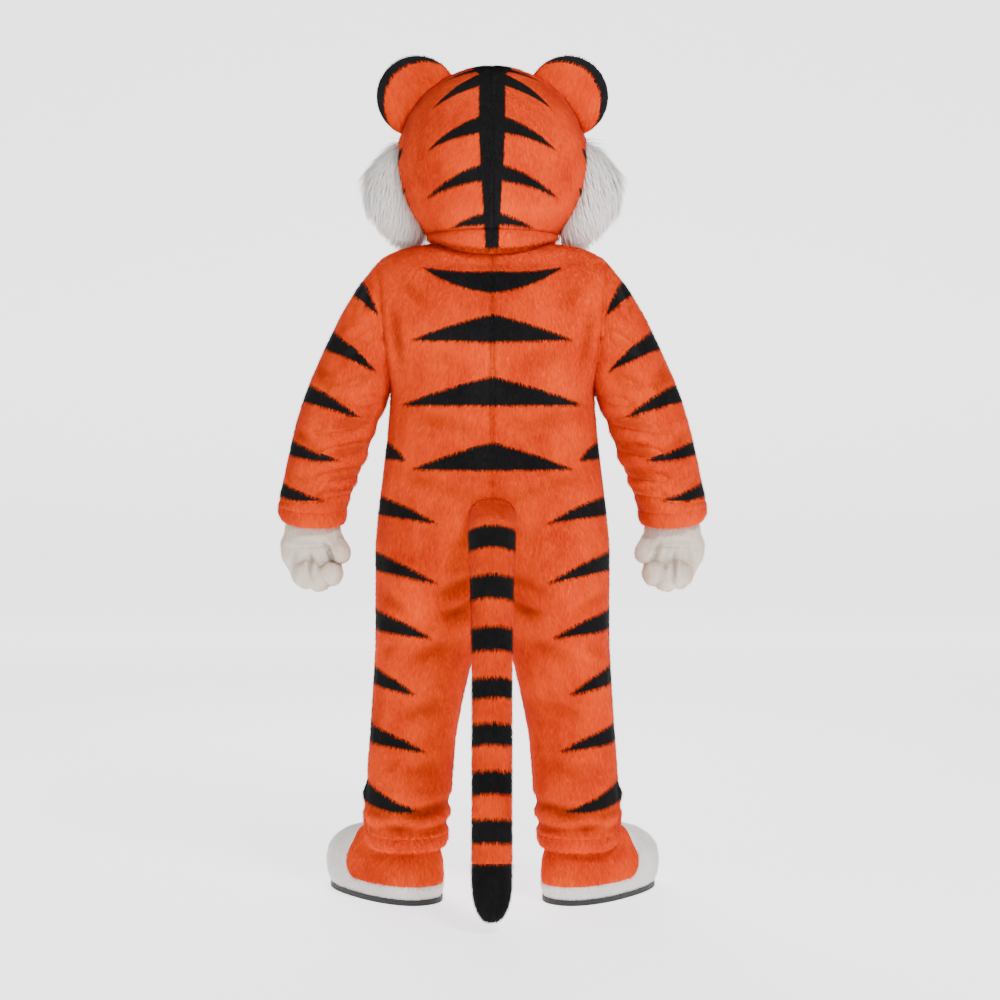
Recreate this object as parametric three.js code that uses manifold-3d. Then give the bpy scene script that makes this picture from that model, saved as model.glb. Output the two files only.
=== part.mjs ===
// Tiger costume for an adult wearer, standing as it is worn: fur suit, gloves, boots, stuffed tail
// and a padded head. Millimetres, +Z up. Heights are measured from the floor, and the whole costume is
// then lowered so that the origin lies midway between the shoulders, where the wearer carries it.
// The front of the costume faces -Y, and its left side is +X. Every pair of pieces is one mirrored form.
import * as THREE from "three";
import { mergeVertices } from "three/addons/utils/BufferGeometryUtils.js";
import Module from "manifold-3d";

const wasm = await Module();
wasm.setup();

// ---------------------------------------------------------------- driving dimensions
const SHOULDER_HEIGHT = 1436; // floor to the point of the shoulder
const FABRIC = 3; // fur cloth with its backing
const PADDED_FABRIC = 5; // quilted cloth of the gloves and boots
const HEAD_FOAM = 12; // foam shell of the head with its fur
const SEAM_GAP = 0.3; // between two pieces that are sewn together
const LAID_ON = 2.0; // between a piece and the faceted panel it lies on
const FULLNESS = 2.2; // exponent of the body's sections: 2 is an ellipse, more is squarer

const ARMPIT = { across: 228, height: 1147 };
const SHOULDER = { across: 254, height: SHOULDER_HEIGHT };
const CROTCH_HEIGHT = 625;
const LEG_SEAM_HEIGHT = 152; // where the hem band is sewn to the leg
const LEG_HEM_HEIGHT = 122; // lowest edge of the leg, behind
const NECKLINE = { height: 1475, backDip: 32, frontDip: 44 };
const YOKE_HEIGHT = 1400; // above it the panels are drawn down to the neckline
const NECKBAND_TOP = { height: 1498, across: 112, deep: 80 };

const HEAD = { height: 1655, radius: 216, back: 205, front: 200, depth: -15 };
const HEAD_NECK_ANGLE = 138; // degrees from the crown to the edge of the neck opening
const NECK_ROLL = { across: 143, sides: 1482, ends: 1457, bulge: 6, wall: 10 };
const EAR = { across: 169, height: 1806, depth: -22, radius: 92, thick: 34, rimAcross: 19, rimAbove: 17 };

const TAIL_RADIUS = 42;
const FOOT_TURN = 35; // degrees that each toe points outwards
const ANKLE = { across: 194, depth: 0 };
const INSTEP_RISE = { height: 66, from: -5, to: 78, fadedBy: 330 }; // how the leg's hem climbs over the boot
const SOLE_THICKNESS = 12;

// ---------------------------------------------------------------- tables of sections
const table = (columns, rows) => {
  const names = columns.split(" ");
  return rows.map((row) => Object.fromEntries(row.map((value, k) => [names[k], value])));
};

// One side of the body at a height: its outermost reach, the centre of its leg, and the reach backwards
// and forwards. Where the leg's centre is nearer the middle than its radius, the two sides join.
const BODY = table("height reach legCentre back front", [
  [152, 289, 195, 104, 100],
  [170, 285, 194, 100, 96],
  [192, 292, 195, 107, 103],
  [218, 284, 191, 99, 96],
  [245, 282, 188, 98, 97],
  [300, 281, 185, 98, 98],
  [370, 275, 179, 100, 100],
  [450, 270, 169, 106, 104],
  [530, 265, 157, 116, 110],
  [590, 262, 146, 127, 118],
  [CROTCH_HEIGHT, 262, 131, 139, 128],
  [636, 262, 130.3, 141, 130],
  [650, 262, 128.7, 144, 132],
  [668, 262, 126.2, 148, 134],
  [690, 262, 122.6, 152, 137],
  [715, 262, 116.4, 156, 140],
  [750, 262, 104, 160, 145],
  [798, 262, 76, 163, 150],
  [865, 256, 24, 163, 156],
  [940, 247, 0, 156, 160],
  [1030, 236, 0, 148, 160],
  [1110, 229, 0, 143, 152],
  [ARMPIT.height, ARMPIT.across, 0, 142, 148],
  [1200, 262, 0, 142, 144],
  [1270, 290, 0, 142, 140],
  [1340, 295, 0, 134, 132],
  [YOKE_HEIGHT, 282, 0, 117, 112],
  [1428, 263, 0, 103, 98],
  [SHOULDER.height, SHOULDER.across, 0, 99, 93],
  [1446, 238, 0, 97, 91],
  [1456, 218, 0, 95, 89],
  [1466, 184, 0, 93, 87],
  [NECKLINE.height, 126, 0, 90, 85],
]);

// Rings of the sleeve, each given by its outer and inner point in the plane of the shoulders, its reach
// backwards and forwards, the depth of its centre, and how far its back edge hangs below its front edge.
// The inner points step in and out where the cloth is crushed inside the elbow.
const SLEEVE = table("outX outZ inX inZ radius depth backDrop", [
  [SHOULDER.across, SHOULDER.height, ARMPIT.across, ARMPIT.height, 84, 0, 0],
  [300, 1380, 229.5, 1142, 88, 0, 0],
  [341, 1313, 231.5, 1134, 91, 0, 0],
  [374, 1245, 235, 1122, 92, -1, 0],
  [403, 1182, 243, 1103, 92, -2, 2],
  [425, 1126, 256, 1078, 90, -4, 4],
  [439, 1082, 268, 1046, 88, -7, 6],
  [449, 1046, 277, 1018, 85, -10, 8],
  [457, 1012, 289, 984, 84, -15, 9],
  [466, 978, 303, 955, 81, -21, 10],
  [473, 944, 313, 925, 80, -28, 12],
  [481, 914, 325, 901, 77, -35, 13],
  [487, 890, 330, 879, 77, -41, 14],
]);
const SLEEVE_HEM = table("outX outZ inX inZ radius depth backDrop", [
  [487, 890, 330, 879, 77, -41, 14],
  [488, 870, 330, 861, 78, -44, 14],
  [480, 856, 335, 847, 73, -47, 14],
]);

const LEG_HEM = table("height reach legCentre back front", [
  [LEG_SEAM_HEIGHT - SEAM_GAP, 289, 195, 104, 100],
  [138, 293, 196, 107, 103],
  [LEG_HEM_HEIGHT, 286, 195, 102, 98],
]);

// The boot at a height, from the middle of the ankle: how far its heel and its toe reach, and half its width.
const BOOT = table("height heel toe halfWidth", [
  [SOLE_THICKNESS + SEAM_GAP, 92, 252, 93],
  [32, 97, 266, 98],
  [62, 98, 271, 99],
  [92, 94, 262, 96],
  [116, 88, 238, 87],
  [136, 86, 196, 81],
  [150, 85, 146, 78],
  [163, 82, 100, 74],
  [182, 76, 77, 71],
  [216, 71, 72, 69],
]);
const BOOT_BROADER_TOE = 0.12; // how much wider the ball of the foot is than its middle
const BOOT_FULLNESS = 2.3;
const TRIM_HEIGHT = 42; // of the white trim round the heel; in front of the ankle it rises into the toe cap
const TOE_CAP_EDGE = table("ahead height", [
  [70, 44],
  [92, 55],
  [103, 76],
  [102, 100],
  [93, 125],
  [84, 148],
]);
const TOE_CAP_TOP = { ahead: 74, height: 186 };
const BOOT_REACH = 320; // more than the boot's length, for the form that divides it

// The tail's middle line in the plane of symmetry, and its radius there.
const TAIL = table("depth height radius", [
  [170, 872, 50],
  [206, 838, 50],
  [236, 790, 48],
  [253, 730, 45],
  [262, 650, 43],
  [270, 540, TAIL_RADIUS],
  [276, 430, TAIL_RADIUS],
  [285, 320, TAIL_RADIUS],
  [299, 215, TAIL_RADIUS],
  [313, 143, TAIL_RADIUS],
]);
const TAIL_TIP = table("depth height radius", [
  [313.1, 142.6, TAIL_RADIUS],
  [321, 104, 42],
  [329, 66, 38],
  [335, 42, 28],
  [339, 29, 15],
]);

// ---------------------------------------------------------------- small mathematics
const radians = THREE.MathUtils.degToRad;
const mix = THREE.MathUtils.lerp;
const smoothstep = THREE.MathUtils.smoothstep;
const point = (x, y, z) => new THREE.Vector3(x, y, z);
const signedPower = (value, exponent) => Math.sign(value) * Math.abs(value) ** exponent;

// A row of a table at any value of its first column, on smooth curves through the rows.
function rowAt(rows, value, key = "height") {
  const last = rows.length - 1;
  const rising = rows[last][key] > rows[0][key];
  let k = rows.findIndex((row) => (rising ? row[key] > value : row[key] < value)) - 1;
  if (k < -1) k = last - 1;
  k = THREE.MathUtils.clamp(k, 0, last - 1);
  const [a, b] = [rows[k], rows[k + 1]];
  const [before, after] = [rows[Math.max(k - 1, 0)], rows[Math.min(k + 2, last)]];
  const span = b[key] - a[key];
  const t = THREE.MathUtils.clamp((value - a[key]) / span, 0, 1);
  const found = { [key]: value };
  for (const name of Object.keys(a).filter((n) => n !== key)) {
    const rise = (b[name] - a[name]) / span;
    const slope = (from, to) => {
      const outer = (to[name] - from[name]) / (to[key] - from[key]);
      return outer * rise <= 0 ? 0 : Math.sign(rise) * Math.min(Math.abs(outer), 2.5 * Math.abs(rise));
    };
    const [startSlope, endSlope] = [slope(before, b) * span, slope(a, after) * span];
    found[name] =
      (2 * t ** 3 - 3 * t ** 2 + 1) * a[name] + (t ** 3 - 2 * t ** 2 + t) * startSlope +
      (3 * t ** 2 - 2 * t ** 3) * b[name] + (t ** 3 - t ** 2) * endSlope;
  }
  return found;
}

// The row at a share of a table's length, where its rows are evenly numbered.
function rowAlong(rows, share) {
  const at = THREE.MathUtils.clamp(share, 0, 1) * (rows.length - 1);
  const k = Math.min(Math.floor(at), rows.length - 2);
  return Object.fromEntries(
    Object.keys(rows[0]).map((name) => [name, mix(rows[k][name], rows[k + 1][name], at - k)]),
  );
}

// A seam plane. A panel's edge is settled half a gap inside it, on the side that its normal points to.
const seam = (normal, through) => ({ normal: normal.clone().normalize(), through });
function settle(p, plane, gap = SEAM_GAP / 2) {
  const distance = p.clone().sub(plane.through).dot(plane.normal);
  return p.addScaledVector(plane.normal, gap - distance);
}

// ---------------------------------------------------------------- closed solids
function closedGeometry(vertices, triangles) {
  let volume = 0;
  for (const [a, b, c] of triangles)
    volume += vertices[a].dot(vertices[b].clone().cross(vertices[c]));
  const turned = volume < 0 ? triangles.map(([a, b, c]) => [a, c, b]) : triangles;
  const geometry = new THREE.BufferGeometry();
  geometry.setAttribute(
    "position",
    new THREE.Float32BufferAttribute(vertices.flatMap((v) => v.toArray()), 3),
  );
  geometry.setIndex(turned.flat());
  geometry.computeVertexNormals();
  return geometry;
}

function quad(triangles, a, b, c, d) {
  triangles.push([a, b, c], [a, c, d]);
}

// A cloth wall: the outer skin (across, along) -> point, the same skin moved inwards by the thickness,
// and the rims between them. core(along) is a point inside the garment, which tells outwards from inwards.
// seams(i, j) lists the planes that the vertex at that column and row is settled against.
// level(along) says where the inward step is horizontal, as on a band. apex closes the last row in one point.
function wall({ columns, rows, skin, core, thickness, ring = false, seams = () => [], level = () => false, apex = null }) {
  const perRow = ring ? columns : columns + 1;
  const outer = [];
  const inner = [];
  const step = 1e-3;
  for (let j = 0; j <= rows; j++)
    for (let i = 0; i < perRow; i++) {
      const [s, t] = [i / columns, j / rows];
      const p = skin(s, t);
      const [low, high] = [Math.max(t - step, 0), Math.min(t + step, 1)];
      const normal = skin(s + step, t).sub(skin(s - step, t)).cross(skin(s, high).sub(skin(s, low)));
      if (level(t)) normal.z = 0;
      normal.normalize();
      if (normal.dot(p.clone().sub(core(t))) < 0) normal.negate();
      const q = p.clone().addScaledVector(normal, -thickness);
      for (const plane of seams(i, j)) {
        settle(p, plane);
        settle(q, plane);
      }
      outer.push(p);
      inner.push(q);
    }
  let lastRow = rows;
  if (apex) {
    outer.length = inner.length = rows * perRow;
    outer.push(apex);
    inner.push(apex.clone().setZ(apex.z - thickness));
    lastRow = rows - 1;
  }
  const vertices = [...outer, ...inner];
  const under = outer.length;
  const triangles = [];
  const at = (i, j) => j * perRow + (ring ? i % columns : i);
  for (let j = 0; j < lastRow; j++)
    for (let i = 0; i < columns; i++) {
      quad(triangles, at(i, j), at(i + 1, j), at(i + 1, j + 1), at(i, j + 1));
      quad(triangles, under + at(i, j), under + at(i, j + 1), under + at(i + 1, j + 1), under + at(i + 1, j));
    }
  const rim = (a, b) => quad(triangles, a, under + a, under + b, b);
  for (let i = 0; i < columns; i++) rim(at(i, 0), at(i + 1, 0));
  if (apex) {
    const tip = rows * perRow;
    for (let i = 0; i < columns; i++) {
      triangles.push([at(i, lastRow), at(i + 1, lastRow), tip]);
      triangles.push([under + at(i, lastRow), under + tip, under + at(i + 1, lastRow)]);
    }
  } else for (let i = 0; i < columns; i++) rim(at(i + 1, rows), at(i, rows));
  if (!ring) {
    for (let j = 0; j < lastRow; j++) {
      rim(at(0, j + 1), at(0, j));
      rim(at(columns, j), at(columns, j + 1));
    }
    if (apex) {
      rim(rows * perRow, at(0, lastRow));
      rim(at(columns, lastRow), rows * perRow);
    }
  }
  return closedGeometry(vertices, triangles);
}

// A stuffed form: rings of points, closed at both ends.
function stuffed(rings) {
  const count = rings[0].length;
  const vertices = rings.flat();
  const triangles = [];
  for (let j = 0; j + 1 < rings.length; j++)
    for (let i = 0; i < count; i++) {
      const next = (i + 1) % count;
      quad(triangles, j * count + i, j * count + next, (j + 1) * count + next, (j + 1) * count + i);
    }
  for (const [first, turn] of [[0, true], [(rings.length - 1) * count, false]]) {
    const middle = vertices.length;
    const centre = point(0, 0, 0);
    for (let i = 0; i < count; i++) centre.addScaledVector(vertices[first + i], 1 / count);
    vertices.push(centre);
    for (let i = 0; i < count; i++) {
      const [a, b] = [first + i, first + ((i + 1) % count)];
      triangles.push(turn ? [middle, b, a] : [middle, a, b]);
    }
  }
  return closedGeometry(vertices, triangles);
}

function solidOf(geometry) {
  const bare = geometry.index ? geometry.clone() : geometry;
  bare.deleteAttribute("normal");
  bare.deleteAttribute("uv");
  const merged = mergeVertices(bare, 1e-3);
  const { array } = merged.index;
  const kept = [];
  for (let k = 0; k < array.length; k += 3) {
    const [a, b, c] = [array[k], array[k + 1], array[k + 2]];
    if (a !== b && b !== c && c !== a) kept.push(a, b, c);
  }
  return new wasm.Manifold(
    new wasm.Mesh({
      numProp: 3,
      vertProperties: merged.attributes.position.array,
      triVerts: new Uint32Array(kept),
    }),
  );
}

// The largest piece of a cut solid, without the slivers beside it.
function geometryOf(solid) {
  const pieces = solid.decompose().sort((a, b) => b.volume() - a.volume());
  const mesh = pieces[0].getMesh();
  const geometry = new THREE.BufferGeometry();
  geometry.setAttribute("position", new THREE.Float32BufferAttribute(mesh.vertProperties, 3));
  geometry.setIndex([...mesh.triVerts]);
  geometry.computeVertexNormals();
  return geometry;
}

// An ellipsoid about a centre, with half-axes, then turned about X, Y and Z in degrees.
function ellipsoid(centre, halfAxes, turn = [0, 0, 0], segments = 14) {
  return new THREE.SphereGeometry(1, segments, Math.round(segments * 0.6))
    .rotateX(radians(90))
    .scale(...halfAxes)
    .rotateX(radians(turn[0]))
    .rotateY(radians(turn[1]))
    .rotateZ(radians(turn[2]))
    .translate(...centre);
}

// A rounded finger between two points.
function finger(from, to, radius) {
  const [a, b] = [point(...from), point(...to)];
  const along = b.clone().sub(a);
  const form = new THREE.CapsuleGeometry(radius, along.length(), 2, 7);
  const turn = new THREE.Quaternion().setFromUnitVectors(point(0, 1, 0), along.clone().normalize());
  const middle = a.add(b).multiplyScalar(0.5);
  return form.applyQuaternion(turn).translate(middle.x, middle.y, middle.z);
}

// ---------------------------------------------------------------- materials and nodes
const plush = (color, roughness = 0.95) =>
  new THREE.MeshStandardMaterial({ color, roughness, metalness: 0 });
const ORANGE = plush(0xf25c05);
const BLACK = plush(0x0c0b0b);
const WHITE_FUR = plush(0xf4f0ec);
const CREAM = plush(0xeee4d8);
const RUBBER = plush(0x161514, 0.7);
const EYE_WHITE = plush(0xf6f4ee, 0.4);
const NOSE = plush(0x2a1b18, 0.5);

const costume = new THREE.Group();
costume.position.z = -SHOULDER_HEIGHT;

function add(name, geometry, material, parent = costume) {
  const mesh = new THREE.Mesh(geometry, material);
  mesh.name = name;
  parent.add(mesh);
  return mesh;
}

// The mirrored copy of a left-hand geometry.
function mirrored(geometry) {
  const copy = geometry.clone().scale(-1, 1, 1);
  const index = [...copy.index.array];
  for (let k = 0; k < index.length; k += 3) [index[k], index[k + 1]] = [index[k + 1], index[k]];
  copy.setIndex(index);
  return copy;
}

function addPair(name, geometry, material) {
  add(`${name}_left`, geometry, material);
  add(`${name}_right`, mirrored(geometry), material);
}

// ---------------------------------------------------------------- suit: body panels
const armholeAcross = (height) =>
  mix(ARMPIT.across, SHOULDER.across, (height - ARMPIT.height) / (SHOULDER.height - ARMPIT.height));
const inArmhole = (height) => height > ARMPIT.height + 1 && height < SHOULDER.height - 1;

// Angle on a section, from 0 at its outer reach, where its outline crosses the given distance across.
function angleAt(row, across) {
  const share = (across - row.legCentre) / (row.reach - row.legCentre);
  return Math.acos(signedPower(THREE.MathUtils.clamp(share, -1, 1), FULLNESS / 2));
}

function onSection(row, angle, towardsBack) {
  const deep = towardsBack ? row.back : -row.front;
  return point(
    row.legCentre + (row.reach - row.legCentre) * signedPower(Math.cos(angle), 2 / FULLNESS),
    deep * signedPower(Math.sin(angle), 2 / FULLNESS),
    row.height,
  );
}

// How far a point near the ankle is lifted, so that the front of the hem lies over the boot.
const TOE_DIRECTION = point(Math.sin(radians(FOOT_TURN)), -Math.cos(radians(FOOT_TURN)), 0);
function instepLift(p) {
  const ahead = (p.x - ANKLE.across) * TOE_DIRECTION.x + (p.y - ANKLE.depth) * TOE_DIRECTION.y;
  const fade = 1 - smoothstep(p.z, LEG_SEAM_HEIGHT, INSTEP_RISE.fadedBy);
  return INSTEP_RISE.height * smoothstep(ahead, INSTEP_RISE.from, INSTEP_RISE.to) * fade;
}

// Point of the left half's skin: across runs from the centre seam or inseam to the side seam or armhole.
function bodySkin(across, height, towardsBack) {
  const row = rowAt(BODY, height);
  const first = angleAt(row, 0);
  const last = inArmhole(height) ? angleAt(row, armholeAcross(height)) : 0;
  const p = onSection(row, mix(first, last, across), towardsBack);
  if (height > YOKE_HEIGHT) {
    const dip = (towardsBack ? NECKLINE.backDip : NECKLINE.frontDip) * (1 - across ** 2) ** 2;
    const share = (height - YOKE_HEIGHT) / (NECKLINE.height - YOKE_HEIGHT);
    p.z -= dip * share;
  }
  if (height < INSTEP_RISE.fadedBy) p.z += instepLift(p);
  return p;
}

const CENTRE_PLANE = seam(point(1, 0, 0), point(0, 0, 0));
const ARMHOLE_NORMAL = point(
  ARMPIT.height - SHOULDER.height, 0, SHOULDER.across - ARMPIT.across,
).normalize();
const ARMHOLE_PLANE = seam(ARMHOLE_NORMAL, point(SHOULDER.across, 0, SHOULDER.height));

function bodyPanel(towardsBack) {
  const sideSeam = seam(point(0, towardsBack ? 1 : -1, 0), point(0, 0, 0));
  const columns = 7;
  const rows = BODY.length - 1;
  // t counts the rows of the table, so that each of them is met exactly
  const heightAt = (t) => rowAlong(BODY, t).height;
  const joined = (j) => BODY[j].height >= CROTCH_HEIGHT;
  return wall({
    columns,
    rows,
    thickness: FABRIC,
    skin: (s, t) => bodySkin(s, heightAt(t), towardsBack),
    level: (t) => heightAt(t) < INSTEP_RISE.fadedBy,
    core: (t) => point(rowAt(BODY, heightAt(t)).legCentre + 20, 0, heightAt(t) - 20),
    seams(i, j) {
      const planes = [];
      if (i === 0) planes.push(joined(j) ? CENTRE_PLANE : sideSeam);
      if (i === columns) planes.push(inArmhole(BODY[j].height) ? ARMHOLE_PLANE : sideSeam);
      if (i === 0 && BODY[j].height === CROTCH_HEIGHT) planes.push(sideSeam);
      if (i === columns && [ARMPIT.height, SHOULDER.height].includes(BODY[j].height))
        planes.push(ARMHOLE_PLANE, sideSeam);
      return planes;
    },
  });
}

addPair("back_panel", bodyPanel(true), ORANGE);
addPair("front_panel", bodyPanel(false), ORANGE);

// ---------------------------------------------------------------- suit: sleeves and hems
function onSleeve(row, turn) {
  const angle = 2 * Math.PI * turn;
  const [outwards, backwards] = [-Math.cos(angle), Math.sin(angle)];
  return point(
    mix(row.inX, row.outX, (1 + outwards) / 2),
    row.depth + row.radius * backwards,
    mix(row.inZ, row.outZ, (1 + outwards) / 2) - row.backDrop * backwards,
  );
}

// The armhole's edge, which the first ring of the sleeve follows.
function onArmhole(turn) {
  const angle = 2 * Math.PI * turn;
  const height = mix(ARMPIT.height, SHOULDER.height, (1 - Math.cos(angle)) / 2);
  const across = armholeAcross(height);
  const row = rowAt(BODY, height);
  const towardsBack = Math.sin(angle) >= 0;
  const edge = onSection(row, inArmhole(height) ? angleAt(row, across) : 0, towardsBack);
  return point(across, edge.y, height);
}

// The plane of a sleeve ring, its normal pointing up the sleeve.
function ringPlane(row) {
  const across = point(row.outX - row.inX, 0, row.outZ - row.inZ);
  const normal = across.cross(point(0, row.radius, -row.backDrop)).normalize();
  return seam(normal, point(row.outX, row.depth, row.outZ));
}
const CUFF_PLANE = ringPlane(SLEEVE.at(-1));

function sleeve() {
  const rows = SLEEVE.length - 1;
  const columns = 14;
  const plane = { normal: ARMHOLE_NORMAL.clone().negate(), through: ARMHOLE_PLANE.through };
  return wall({
    columns,
    rows,
    ring: true,
    thickness: FABRIC,
    skin(s, t) {
      const free = onSleeve(rowAlong(SLEEVE, t), s);
      const fromArmhole = 1 - smoothstep(t * rows, 0, 2.5);
      return free.lerp(onArmhole(s).add(free.clone().sub(onSleeve(SLEEVE[0], s))), fromArmhole);
    },
    core(t) {
      const row = rowAlong(SLEEVE, t);
      return point((row.inX + row.outX) / 2, row.depth, (row.inZ + row.outZ) / 2);
    },
    seams: (i, j) => (j === 0 ? [plane] : j === rows ? [CUFF_PLANE] : []),
  });
}

addPair("sleeve", sleeve(), ORANGE);
addPair(
  "sleeve_hem",
  wall({
    columns: 14,
    rows: SLEEVE_HEM.length - 1,
    ring: true,
    level: () => true,
    thickness: FABRIC,
    skin: (s, t) => onSleeve(rowAlong(SLEEVE_HEM, t), s),
    core: () => point(407, -44, 868),
    seams: (i, j) => (j === 0 ? [seam(CUFF_PLANE.normal.clone().negate(), CUFF_PLANE.through)] : []),
  }),
  ORANGE,
);
addPair(
  "leg_hem",
  wall({
    columns: 14,
    rows: LEG_HEM.length - 1,
    ring: true,
    level: () => true,
    thickness: FABRIC,
    skin(s, t) {
      const angle = 2 * Math.PI * s;
      const p = onSection(rowAlong(LEG_HEM, t), angle, Math.sin(angle) > 0);
      p.y = Math.sin(angle) > 0 ? p.y : -p.y;
      p.z += instepLift(p.clone().setZ(LEG_SEAM_HEIGHT));
      return p;
    },
    core: () => point(195, 0, 130),
  }),
  ORANGE,
);

// ---------------------------------------------------------------- suit: neckband
function necklinePoint(turn) {
  const angle = 2 * Math.PI * turn; // from the left side over the back
  const towardsBack = Math.sin(angle) >= 0;
  const across = 1 - Math.acos(Math.abs(Math.cos(angle)) ** (FULLNESS / 2)) / (Math.PI / 2);
  const p = bodySkin(across, NECKLINE.height, towardsBack);
  return Math.cos(angle) < 0 ? p.setX(-p.x) : p;
}
add(
  "neckband",
  wall({
    columns: 20,
    rows: 2,
    ring: true,
    level: () => true,
    thickness: FABRIC,
    skin(s, t) {
      const angle = 2 * Math.PI * s;
      const low = necklinePoint(s);
      low.z += SEAM_GAP;
      const high = point(
        NECKBAND_TOP.across * Math.cos(angle),
        NECKBAND_TOP.deep * Math.sin(angle),
        NECKBAND_TOP.height,
      );
      return low.lerp(high, t);
    },
    core: (t) => point(0, 0, mix(NECKLINE.height, NECKBAND_TOP.height, t)),
  }),
  ORANGE,
);

// ---------------------------------------------------------------- tail
function tailRings(rows) {
  const around = 14;
  return rows.map((row, k) => {
    const [before, after] = [rows[Math.max(k - 1, 0)], rows[Math.min(k + 1, rows.length - 1)]];
    const along = point(0, after.depth - before.depth, after.height - before.height).normalize();
    const across = point(0, along.z, -along.y);
    return Array.from({ length: around }, (_, i) => {
      const angle = (2 * Math.PI * i) / around;
      return point(row.radius * Math.cos(angle), row.depth, row.height).addScaledVector(
        across,
        -row.radius * Math.sin(angle),
      );
    });
  });
}
const TAIL_END_PLANE = seam(
  point(0, TAIL.at(-2).depth - TAIL.at(-1).depth, TAIL.at(-2).height - TAIL.at(-1).height),
  point(0, TAIL.at(-1).depth, TAIL.at(-1).height),
);

// How far back the suit reaches at a place.
function backOfSuit(across, height) {
  const row = rowAt(BODY, height);
  const share = (Math.abs(across) - row.legCentre) / (row.reach - row.legCentre);
  return row.back * (1 - Math.abs(share) ** FULLNESS) ** (1 / FULLNESS);
}
const tailRows = tailRings(TAIL);
for (const p of tailRows[0]) p.y = backOfSuit(p.x, p.z) + LAID_ON;
const tipRows = tailRings(TAIL_TIP);
tipRows[0] = tailRows.at(-1).map((p) => p.clone().addScaledVector(TAIL_END_PLANE.normal, -SEAM_GAP));
add("tail", stuffed(tailRows), ORANGE);
add("tail_tip", stuffed(tipRows), BLACK);

// ---------------------------------------------------------------- head: padded cover
function onHead(turn, fromCrown, towardsBack) {
  const deep = towardsBack ? HEAD.back : HEAD.front;
  return point(
    HEAD.radius * Math.sin(fromCrown) * Math.sin(turn),
    HEAD.depth + deep * Math.sin(fromCrown) * Math.cos(turn),
    HEAD.height + HEAD.radius * Math.cos(fromCrown),
  );
}

function headQuarter(towardsBack) {
  const side = towardsBack ? 1 : -1;
  const sideSeam = seam(point(0, side, 0), point(0, HEAD.depth, 0));
  const columns = 6;
  const crown = point(SEAM_GAP / 2, HEAD.depth + (side * SEAM_GAP) / 2, HEAD.height + HEAD.radius);
  return wall({
    columns,
    rows: 9,
    thickness: HEAD_FOAM,
    apex: crown,
    skin(s, t) {
      const turn = towardsBack ? (s * Math.PI) / 2 : Math.PI - (s * Math.PI) / 2;
      return onHead(turn, radians(HEAD_NECK_ANGLE) * (1 - t), towardsBack);
    },
    core: () => point(0, HEAD.depth, HEAD.height),
    seams: (i) => (i === 0 ? [CENTRE_PLANE] : i === columns ? [sideSeam] : []),
  });
}
addPair("head_back", headQuarter(true), ORANGE);
addPair("face", headQuarter(false), ORANGE);

// The padded roll round the head's neck opening.
add(
  "neck_roll",
  wall({
    columns: 24,
    rows: 3,
    ring: true,
    level: () => true,
    thickness: NECK_ROLL.wall,
    skin(s, t) {
      const angle = 2 * Math.PI * s;
      const high = onHead(angle, radians(HEAD_NECK_ANGLE), Math.cos(angle) >= 0);
      high.z -= SEAM_GAP;
      const low = high.clone();
      low.x = NECK_ROLL.across * Math.sin(angle);
      low.z = mix(NECK_ROLL.sides, NECK_ROLL.ends, Math.cos(angle) ** 2);
      const outwards = point(Math.sin(angle), Math.cos(angle), 0);
      return high.lerp(low, t).addScaledVector(outwards, NECK_ROLL.bulge * Math.sin(Math.PI * t));
    },
    core: () => point(0, HEAD.depth, NECK_ROLL.sides),
  }),
  ORANGE,
);

// ---------------------------------------------------------------- head: ears, cheek fur and face
// The outside of the padded cover, which everything on the head is fitted to.
const headForm = (() => {
  const form = new THREE.SphereGeometry(1, 24, 18).rotateX(Math.PI / 2);
  const place = form.attributes.position;
  for (let k = 0; k < place.count; k++) {
    const deep = place.getY(k) > 0 ? HEAD.back : HEAD.front;
    const y = HEAD.depth + place.getY(k) * (deep + LAID_ON);
    const radius = HEAD.radius + LAID_ON;
    place.setXYZ(k, place.getX(k) * radius, y, HEAD.height + place.getZ(k) * radius);
  }
  return solidOf(form);
})();

function ear() {
  const placed = (form) => solidOf(form.translate(EAR.across, EAR.depth, EAR.height));
  const disc = placed(new THREE.SphereGeometry(1, 20, 8).scale(EAR.radius, EAR.thick / 2, EAR.radius));
  const core = (radius) => {
    const form = new THREE.CylinderGeometry(radius, radius, 2 * EAR.thick, 24);
    return placed(form.translate(-EAR.rimAcross, 0, -EAR.rimAbove));
  };
  const whole = disc.subtract(headForm);
  return {
    centre: geometryOf(whole.intersect(core(EAR.radius))),
    rim: geometryOf(whole.subtract(core(EAR.radius + SEAM_GAP))),
  };
}
const earPieces = ear();
addPair("ear", earPieces.centre, ORANGE);
addPair("ear_rim", earPieces.rim, BLACK);

// Plain solid of the reach of the long cheek fur, fuller above and coming to a point below.
const cheekForm = solidOf(ellipsoid([208, -34, 1596], [92, 60, 120], [0, 14, 0], 16));
addPair("cheek_fur", geometryOf(cheekForm.subtract(headForm)), WHITE_FUR);

const muzzleForm = solidOf(ellipsoid([0, -198, 1596], [100, 62, 66], [0, 0, 0], 16)).subtract(headForm);
const noseForm = solidOf(ellipsoid([0, -258, 1634], [30, 18, 19], [-18, 0, 0], 12));
add("muzzle", geometryOf(muzzleForm), WHITE_FUR);
add("nose", geometryOf(noseForm.subtract(muzzleForm)), NOSE);

const eyeForm = solidOf(ellipsoid([76, -188, 1700], [34, 26, 42], [0, 0, 22], 14)).subtract(headForm);
const pupilForm = solidOf(ellipsoid([84, -209, 1698], [15, 9, 21], [0, 0, 22], 8));
addPair("eye", geometryOf(eyeForm), EYE_WHITE);
addPair("pupil", geometryOf(pupilForm.subtract(eyeForm).subtract(headForm)), NOSE);

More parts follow.
